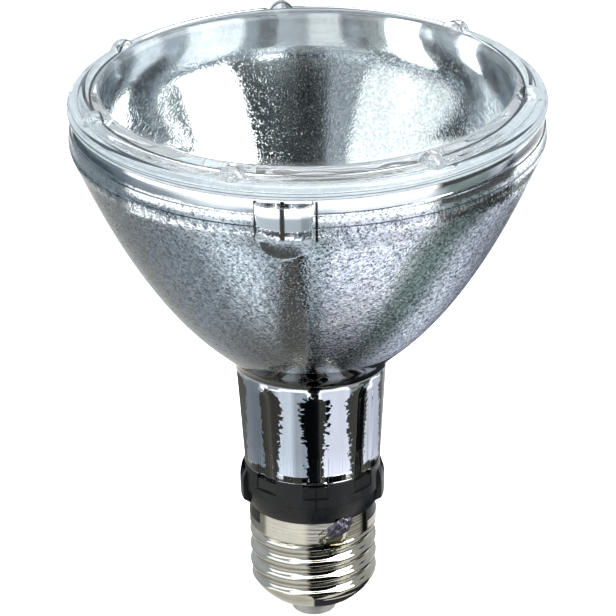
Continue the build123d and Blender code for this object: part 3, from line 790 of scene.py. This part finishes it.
def thread_radius(height, angles):
    """Radius of the rounded thread: equal crest and root arcs along a right-hand helix."""
    quarter = THREAD_PITCH / 4
    half_depth = (CREST_RADIUS - ROOT_RADIUS) / 2
    arc = (quarter**2 + half_depth**2) / (2 * half_depth)
    crest = LEFT_CREST_Z + THREAD_PITCH * (angles - np.pi) / (2 * np.pi)
    off = np.abs((height - crest + THREAD_PITCH / 2) % THREAD_PITCH - THREAD_PITCH / 2)
    on_crest = CREST_RADIUS - arc + np.sqrt(np.maximum(arc**2 - off**2, 0))
    in_root = ROOT_RADIUS + arc - np.sqrt(np.maximum(arc**2 - (THREAD_PITCH / 2 - off) ** 2, 0))
    return np.where(off < quarter, on_crest, in_root)


def shell_outside(height, angles):
    """Outer radius: the thread, within the rounded corner below and the plain skirt above."""
    widest = corner_radius(height, LIP_RADIUS, WIDEST_RADIUS, WIDEST_RISE)
    core = corner_radius(height, CORE_LIP_RADIUS, ROOT_RADIUS, CORNER_RISE)
    skirt = np.interp(height, (SKIRT_FOOT - SKIRT_TAPER, SKIRT_FOOT), (ROOT_RADIUS, SKIRT_RADIUS), left=0)
    return np.maximum(np.maximum(np.minimum(thread_radius(height, angles), widest), core), skirt)


def nickel_plate():
    """Bright nickel on rolled brass: a warm mirror with rolling marks, and old flux round the solder.

    The real marks are finer, and are drawn as coarse as they need to show.
    """
    material, tree, where = start_material("nickel_plated_brass_rolled")
    film = add_node(tree, "ShaderNodeTexNoise", {"Vector": where, "Scale": per_metre(4), "Detail": 4})
    colour = add_node(
        tree,
        "ShaderNodeMix",
        {FACTOR: film.outputs["Fac"], COLOUR_A: linear("#b8b5aa"), COLOUR_B: linear("#dad8ce")},
        data_type="RGBA",
    )
    flux_spot = tuple(millimetres / 1000 for millimetres in FLUX_SPOT)
    flux_from = add_node(tree, "ShaderNodeVectorMath", {0: where, 1: flux_spot}, operation="DISTANCE")
    speckle = add_node(tree, "ShaderNodeTexNoise", {"Vector": where, "Scale": per_metre(0.7), "Detail": 3})
    reach = add_node(
        tree,
        "ShaderNodeMapRange",
        {
            "Value": flux_from.outputs["Value"],
            "From Max": FLUX_REACH / 1000,
            "To Min": 0.75,
            "To Max": 0.25,
        },
    )
    burnt = add_node(
        tree,
        "ShaderNodeMath",
        {0: reach.outputs["Result"], 1: speckle.outputs["Fac"]},
        operation="GREATER_THAN",
    )
    stained = add_node(
        tree,
        "ShaderNodeMix",
        {FACTOR: burnt.outputs[0], COLOUR_A: colour.outputs[MIXED], COLOUR_B: linear("#5f5b48")},
        data_type="RGBA",
    )
    gloss = add_node(
        tree, "ShaderNodeMapRange", {"Value": film.outputs["Fac"], "To Min": 0.13, "To Max": 0.05}
    )
    marks = add_node(
        tree, "ShaderNodeMapping", {"Vector": where, "Scale": (per_metre(6), per_metre(6), per_metre(0.5))}
    )
    rolling = add_node(
        tree, "ShaderNodeTexNoise", {"Vector": marks.outputs["Vector"], "Scale": 1, "Detail": 2}
    )
    bump = add_node(
        tree, "ShaderNodeBump", {"Height": rolling.outputs["Fac"], "Strength": 0.1, "Distance": 0.0001}
    )
    finish_material(
        tree,
        {
            "Base Color": stained.outputs[MIXED],
            "Metallic": 1.0,
            "Roughness": gloss.outputs["Result"],
            "Normal": bump.outputs["Normal"],
        },
    )
    return material


edges = (NOTCH_HALF_ANGLE - NOTCH_EDGE, NOTCH_HALF_ANGLE + NOTCH_EDGE)
notch_edges = [turn + side * edge for turn in (0, 180) for side in (-1, 1) for edge in edges]
turns = np.radians(np.sort(np.concatenate([np.arange(1, 360, 2), np.mod(notch_edges, 360)])))
up_outside = np.linspace(SHELL_FOOT, SHELL_TOP, OUTSIDE_ROWS)
down_skirt = np.linspace(SHELL_TOP, SKIRT_STEP, SKIRT_ROWS)
down_bore = np.linspace(SKIRT_STEP, SHELL_FOOT, BORE_ROWS)
level = np.repeat(np.concatenate([up_outside, down_skirt, down_bore])[:, None], len(turns), 1)
bore = np.concatenate(
    [
        np.full(SKIRT_ROWS, SKIRT_BORE),
        corner_radius(down_bore, LIP_RADIUS - SHELL_SHEET, SHELL_BORE, CORNER_RISE),
    ]
)
outside = shell_outside(level[:OUTSIDE_ROWS], turns)
shell_radius = np.vstack([outside, np.repeat(bore[:, None], len(turns), 1)])
from_side = np.abs((turns + np.pi / 2) % np.pi - np.pi / 2)
top = np.where(from_side < math.radians(NOTCH_HALF_ANGLE), NOTCH_FOOT, SHELL_TOP)
squeeze = (top - NOTCH_ROWS_FROM) / (SHELL_TOP - NOTCH_ROWS_FROM)
level = np.where(level > NOTCH_ROWS_FROM, NOTCH_ROWS_FROM + (level - NOTCH_ROWS_FROM) * squeeze, level)
shell = lay_surface("screw_shell", shell_radius, level, turns, crease=40)
shell.data.materials.append(nickel_plate())
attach(shell, "root")
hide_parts("cap_shell")


# Foot of the cap: black glass moulded into the shell carries a tinned contact plate.
# Solder fills the plate's hole round one lead, and a dab of it ties the other lead to the shell's edge.

SOLDER_TURN, SOLDER_Z, SOLDER_HALF_WIDTH, SOLDER_HALF_RISE = -65.0, 24.9, 2.75, 2.1
SOLDER_HEIGHT, SOLDER_LEAN, BACK_ROWS, FACE_ROWS = 0.85, 0.18, 6, 16


def black_glass():
    """Black lead glass, moulded hot: deep gloss with small flow marks."""
    material, tree, where = start_material("lead_glass_black_moulded")
    flow = add_node(tree, "ShaderNodeTexNoise", {"Vector": where, "Scale": per_metre(2), "Detail": 3})
    colour = add_node(
        tree,
        "ShaderNodeMix",
        {FACTOR: flow.outputs["Fac"], COLOUR_A: linear("#08080a"), COLOUR_B: linear("#17171b")},
        data_type="RGBA",
    )
    bump = add_node(
        tree, "ShaderNodeBump", {"Height": flow.outputs["Fac"], "Strength": 0.25, "Distance": 0.0002}
    )
    finish_material(
        tree,
        {
            "Base Color": colour.outputs[MIXED],
            "Roughness": 0.08,
            "IOR": 1.6,
            "Normal": bump.outputs["Normal"],
        },
    )
    return material


def solder_dab():
    """Radii, heights and angles of the dab on the shell: a dome with an uneven outline and lumps on it.

    Rows run from the middle of its back out to its edge and in again over its face; columns run round it.
    The outline is an ellipse with three waves, and the dome an ellipsoid with two crossing waves.
    """
    round_it = np.radians(np.arange(0, 360, 5))
    share = np.concatenate([np.linspace(0, 1, BACK_ROWS), np.linspace(1, 0, FACE_ROWS)[1:]])[:, None]
    outline = (
        1
        + 0.1 * np.sin(2 * round_it + 0.6)
        + 0.08 * np.sin(5 * round_it)
        + 0.05 * np.sin(9 * round_it + 2)
    )
    across = SOLDER_HALF_WIDTH * share * outline * np.cos(round_it)
    rise = SOLDER_HALF_RISE * share * outline * np.sin(round_it)
    dome = SOLDER_HEIGHT * np.sqrt(1 - share**2)
    lumps = (
        0.8
        + 0.35 * np.sin(2.6 * across + 0.7) * np.sin(2.9 * rise + 1.1)
        + 0.2 * np.sin(5.3 * across - 4.1 * rise)
    )
    on_face = np.arange(len(share))[:, None] >= BACK_ROWS
    radius = SKIRT_RADIUS + np.where(on_face, dome * lumps, 0)
    height = SOLDER_Z + rise + SOLDER_LEAN * across
    return radius, height, math.radians(SOLDER_TURN) + across / SKIRT_RADIUS


contact_metal = bare_metal("brass_tinned", "#f0eeec", "#bcb8b8", grain_mm=1.5, roughness=0.6)
solder_metal = bare_metal("tin_solder_set", "#7d7a86", "#3c3a42", grain_mm=0.7, roughness=0.42)
dress("cap_insulator", black_glass())
dress("centre_contact", contact_metal)
dress("contact_solder", solder_metal)
dab = lay_surface("solder_dab", *solder_dab(), crease=50, poles=True)
dab.data.materials.append(solder_metal)
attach(dab, "root")
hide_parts("side_solder")


# Studio: a white floor, soft boxes on the right, the left and overhead, and a room that shows in the
# mirrors. A card printed in greys lies on the floor for the light that comes up through the glass.
# The camera stands where the photograph was taken from.

FLOOR_REACH, BULB_MIDDLE = 4.0, 0.06


def floor_paint():
    """Matt white paint, faintly mottled."""
    material, tree, where = start_material("matt_white_paint")
    mottle = add_node(tree, "ShaderNodeTexNoise", {"Vector": where, "Scale": per_metre(300), "Detail": 2})
    colour = add_node(
        tree,
        "ShaderNodeMix",
        {FACTOR: mottle.outputs["Fac"], COLOUR_A: linear("#f4f4f4"), COLOUR_B: linear("#f8f8f8")},
        data_type="RGBA",
    )
    finish_material(
        tree,
        {
            "Base Color": colour.outputs[MIXED],
            "Roughness": 0.9,
            "Emission Color": linear("#ffffff"),
            "Emission Strength": 0.8,
        },
    )
    return material


floor_corners = [(x * FLOOR_REACH, y * FLOOR_REACH, 0) for x, y in ((-1, -1), (1, -1), (1, 1), (-1, 1))]
floor_mesh = bpy.data.meshes.new("studio_floor")
floor_mesh.from_pydata(floor_corners, [], [(0, 1, 2, 3)])
floor_mesh.materials.append(floor_paint())
floor = bpy.data.objects.new("studio_floor", floor_mesh)
floor.visible_glossy = False
floor.visible_transmission = False
bpy.context.scene.collection.objects.link(floor)

# The printed card. Its colours, like those of the room, go by degrees to the right of the camera, its
# painted shadow of the lamp by the distance from the lamp, and its strip by the distance to the right of
# the axis.
CARD_RADIUS, CARD_RING_FROM, CARD_RING_FULL, CARD_Z = 320, 190, 215, 0.5
CARD_STRIP_Y, CARD_STRIP_HALF_LENGTH = -50, 35
BOWL_CARD = [
    (-180, "#566068"),
    (-110, "#5a646e"),
    (-72, "#6a747d"),
    (-48, "#c8d0d8"),
    (-38, "#c8d0d8"),
    (-28, "#868e96"),
    (9, "#a8b0b6"),
    (16, "#dcdde8"),
    (58, "#dcdde8"),
    (72, "#65726e"),
    (98, "#65726e"),
    (112, "#ccced8"),
    (180, "#b4b8c4"),
]
GROUND = [
    (-180, "#ffffff"),
    (-168, "#ffffff"),
    (-158, "#4a5558"),
    (-100, "#4a5558"),
    (-92, "#f4f5f7"),
    (-20, "#ffffff"),
    (0, "#eceef2"),
    (36, "#e6e8ec"),
    (42, "#ffffff"),
    (60, "#ffffff"),
    (66, "#060708"),
    (116, "#060708"),
    (122, "#ffffff"),
]
# Painted shadow of the lamp: the card darkens towards the lamp's axis, by distance in millimetres.
CARD_LAMP_SHADOW = [
    (0, "#343434"),
    (15, "#404040"),
    (27, "#686868"),
    (45, "#bcbcbc"),
    (62, "#ffffff"),
    (95, "#ffffff"),
    (110, "#dcdcdc"),
]
CARD_STRIP = [(-22, "#000000"), (-19, "#ffffff"), (-4, "#ffffff"), (-1, "#000000")]


def by_bearing(tree, axes, bands):
    """Colour of a ramp round the lamp; bands are (degrees to the right of the camera, colour)."""
    towards = add_node(tree, "ShaderNodeMath", {0: axes["Y"], 1: -1.0}, operation="MULTIPLY")
    bearing = add_node(tree, "ShaderNodeMath", {0: axes["X"], 1: towards.outputs[0]}, operation="ARCTAN2")
    around = add_node(
        tree, "ShaderNodeMapRange", {"Value": bearing.outputs[0], "From Min": -math.pi, "From Max": math.pi}
    )
    ramp = add_node(
        tree,
        "ShaderNodeValToRGB",
        {"Fac": around.outputs["Result"]},
        stops=[(0.5 + degrees / 360, code) for degrees, code in bands],
    )
    return ramp.outputs["Color"]


def bowl_card():
    """Card printed in greys by bearing, with a painted shadow of the lamp darker towards its foot, and one
    dark strip in front.

    Its outer ring has the colours of the ground round it.
    """
    material, tree, where = start_material("bowl_card")
    axes = add_node(tree, "ShaderNodeSeparateXYZ", {"Vector": where}).outputs
    out = add_node(tree, "ShaderNodeVectorMath", {0: where}, operation="LENGTH").outputs["Value"]
    share = add_node(tree, "ShaderNodeMapRange", {"Value": out, "From Max": CARD_RADIUS / 1000})
    shade = add_node(
        tree,
        "ShaderNodeValToRGB",
        {"Fac": share.outputs["Result"]},
        stops=[(distance / CARD_RADIUS, code) for distance, code in CARD_LAMP_SHADOW],
    )
    across = add_node(
        tree,
        "ShaderNodeMapRange",
        {"Value": axes["X"], "From Min": -CARD_RADIUS / 1000, "From Max": CARD_RADIUS / 1000},
    )
    strip = add_node(
        tree,
        "ShaderNodeValToRGB",
        {"Fac": across.outputs["Result"]},
        stops=[(0.5 + x / (2 * CARD_RADIUS), code) for x, code in CARD_STRIP],
    )
    in_front = add_node(
        tree,
        "ShaderNodeMath",
        {0: axes["Y"], 1: CARD_STRIP_Y / 1000, 2: CARD_STRIP_HALF_LENGTH / 1000},
        operation="COMPARE",
    )
    on_strip = add_node(
        tree, "ShaderNodeMath", {0: strip.outputs["Color"], 1: in_front.outputs[0]}, operation="MULTIPLY"
    )
    toned = add_node(
        tree,
        "ShaderNodeMix",
        {FACTOR: 1.0, COLOUR_A: by_bearing(tree, axes, BOWL_CARD), COLOUR_B: shade.outputs["Color"]},
        data_type="RGBA",
        blend_type="MULTIPLY",
    )
    marked = add_node(
        tree,
        "ShaderNodeMix",
        {FACTOR: on_strip.outputs[0], COLOUR_A: toned.outputs[MIXED], COLOUR_B: linear("#060a0b")},
        data_type="RGBA",
    )
    on_ring = add_node(
        tree,
        "ShaderNodeMapRange",
        {"Value": out, "From Min": CARD_RING_FROM / 1000, "From Max": CARD_RING_FULL / 1000},
    )
    outer_ring = by_bearing(tree, axes, GROUND)
    printed = add_node(
        tree,
        "ShaderNodeMix",
        {FACTOR: on_ring.outputs["Result"], COLOUR_A: marked.outputs[MIXED], COLOUR_B: outer_ring},
        data_type="RGBA",
    )
    finish_material(
        tree,
        {
            "Base Color": linear("#000000"),
            "Roughness": 1.0,
            "Emission Color": printed.outputs[MIXED],
            "Emission Strength": 2.0,
        },
    )
    return material


around = np.radians(np.arange(0, 360, 7.5))
edge_x, edge_y = CARD_RADIUS * np.cos(around), CARD_RADIUS * np.sin(around)
disc = np.column_stack([edge_x, edge_y, np.full(len(around), CARD_Z)])
card_mesh = bpy.data.meshes.new("bowl_card")
card_mesh.from_pydata((disc / 1000).tolist(), [], [tuple(range(len(disc)))])
card_mesh.materials.append(bowl_card())
card = bpy.data.objects.new("bowl_card", card_mesh)
card.visible_camera = False
card.visible_diffuse = False
card.visible_shadow = False
card.visible_glossy = False
bpy.context.scene.collection.objects.link(card)

UNDERNEATH = [
    (-180, "#c8c8c4"),
    (-150, "#b4b3aa"),
    (-16, "#d6d4ca"),
    (-6, "#0a0b0c"),
    (50, "#0a0b0c"),
    (58, "#e4e3dc"),
    (94, "#e4e3dc"),
    (104, "#0c0d0e"),
    (150, "#303234"),
]
WALLS = [
    (-180, "#2e3235"),
    (-173, "#2e3235"),
    (-168, "#bcc0c4"),
    (-100, "#a2a8b0"),
    (-16, "#a2a8b0"),
    (-10, "#0a0c0d"),
    (46, "#090a0b"),
    (52, "#8f9398"),
    (112, "#a0a29f"),
    (168, "#bcc0c4"),
    (173, "#2e3235"),
]
PALE_WALLS = [
    (-180, "#b6babe"),
    (-100, "#a2a8b0"),
    (-16, "#a2a8b0"),
    (-10, "#0a0c0d"),
    (46, "#090a0b"),
    (52, "#8f9398"),
    (112, "#a0a29f"),
    (130, "#b6babe"),
]
UPPER_WALLS = [
    (-180, "#b6babe"),
    (-146, "#b6babe"),
    (-142, "#303538"),
    (-122, "#303538"),
    (-118, "#a2a8b0"),
    (-16, "#a2a8b0"),
    (-10, "#0a0c0d"),
    (46, "#090a0b"),
    (52, "#8f9398"),
    (104, "#a0a29f"),
    (110, "#303538"),
    (134, "#303538"),
    (140, "#ffffff"),
    (174, "#ffffff"),
    (179, "#b6babe"),
]
ZONE_EDGES = [(-0.5, -0.46), (-0.39, -0.35), (0.34, 0.38), (0.56, 0.64)]


def studio_room():
    """What the mirrors see away from the lamps: zones by height, each a ramp round the room."""
    world = bpy.data.worlds.new("studio_room")
    world.use_nodes = True
    tree = world.node_tree
    tree.nodes.clear()
    where = add_node(tree, "ShaderNodeTexCoord").outputs["Generated"]
    axes = add_node(tree, "ShaderNodeSeparateXYZ", {"Vector": where}).outputs
    seen = by_bearing(tree, axes, UNDERNEATH)
    for bands, (low, high) in zip((GROUND, PALE_WALLS, WALLS, UPPER_WALLS), ZONE_EDGES):
        share = add_node(
            tree, "ShaderNodeMapRange", {"Value": axes["Z"], "From Min": low, "From Max": high}
        )
        seen = add_node(
            tree,
            "ShaderNodeMix",
            {FACTOR: share.outputs["Result"], COLOUR_A: seen, COLOUR_B: by_bearing(tree, axes, bands)},
            data_type="RGBA",
        ).outputs[MIXED]
    background = add_node(tree, "ShaderNodeBackground", {"Color": seen, "Strength": 1.3})
    add_node(tree, "ShaderNodeOutputWorld", {"Surface": background.outputs["Background"]})
    return world


def soft_box(name, bearing, rise, distance, size, power):
    """Rectangular lamp that faces the bulb's middle, at a bearing to the camera's right and a rise."""
    lamp = bpy.data.lights.new(name, "AREA")
    lamp.shape = "RECTANGLE"
    lamp.size, lamp.size_y = size
    lamp.energy = power
    turn, lift = math.radians(bearing), math.radians(rise)
    box = bpy.data.objects.new(name, lamp)
    out = (math.sin(turn) * math.cos(lift), -math.cos(turn) * math.cos(lift), math.sin(lift))
    box.location = (out[0] * distance, out[1] * distance, out[2] * distance + BULB_MIDDLE)
    box.rotation_euler = (math.pi / 2 - lift, 0, turn)
    bpy.context.scene.collection.objects.link(box)


soft_box("right_box", bearing=58, rise=38, distance=1.6, size=(0.92, 1.5), power=40)
soft_box("left_box", bearing=-65, rise=32, distance=2.2, size=(2.4, 1.4), power=15)
soft_box("top_box", bearing=0, rise=90, distance=1.8, size=(2.0, 2.0), power=60)
bpy.context.scene.world = studio_room()
bpy.context.scene.view_settings.view_transform = "Standard"
bpy.context.scene.cycles.use_denoising = True
bpy.context.scene.cycles.max_bounces = 36
bpy.context.scene.cycles.glossy_bounces = 28
bpy.context.scene.cycles.transmission_bounces = 16

camera_data = bpy.data.cameras.new("camera")
camera_data.sensor_width = 36
camera_data.lens = 248.08
camera = bpy.data.objects.new("camera", camera_data)
camera.location = (-0.00042, -0.778, 0.438)
camera.rotation_mode = "ZYX"
camera.rotation_euler = (math.radians(64.63), 0, math.radians(-0.8))
bpy.context.scene.collection.objects.link(camera)
bpy.context.scene.camera = camera
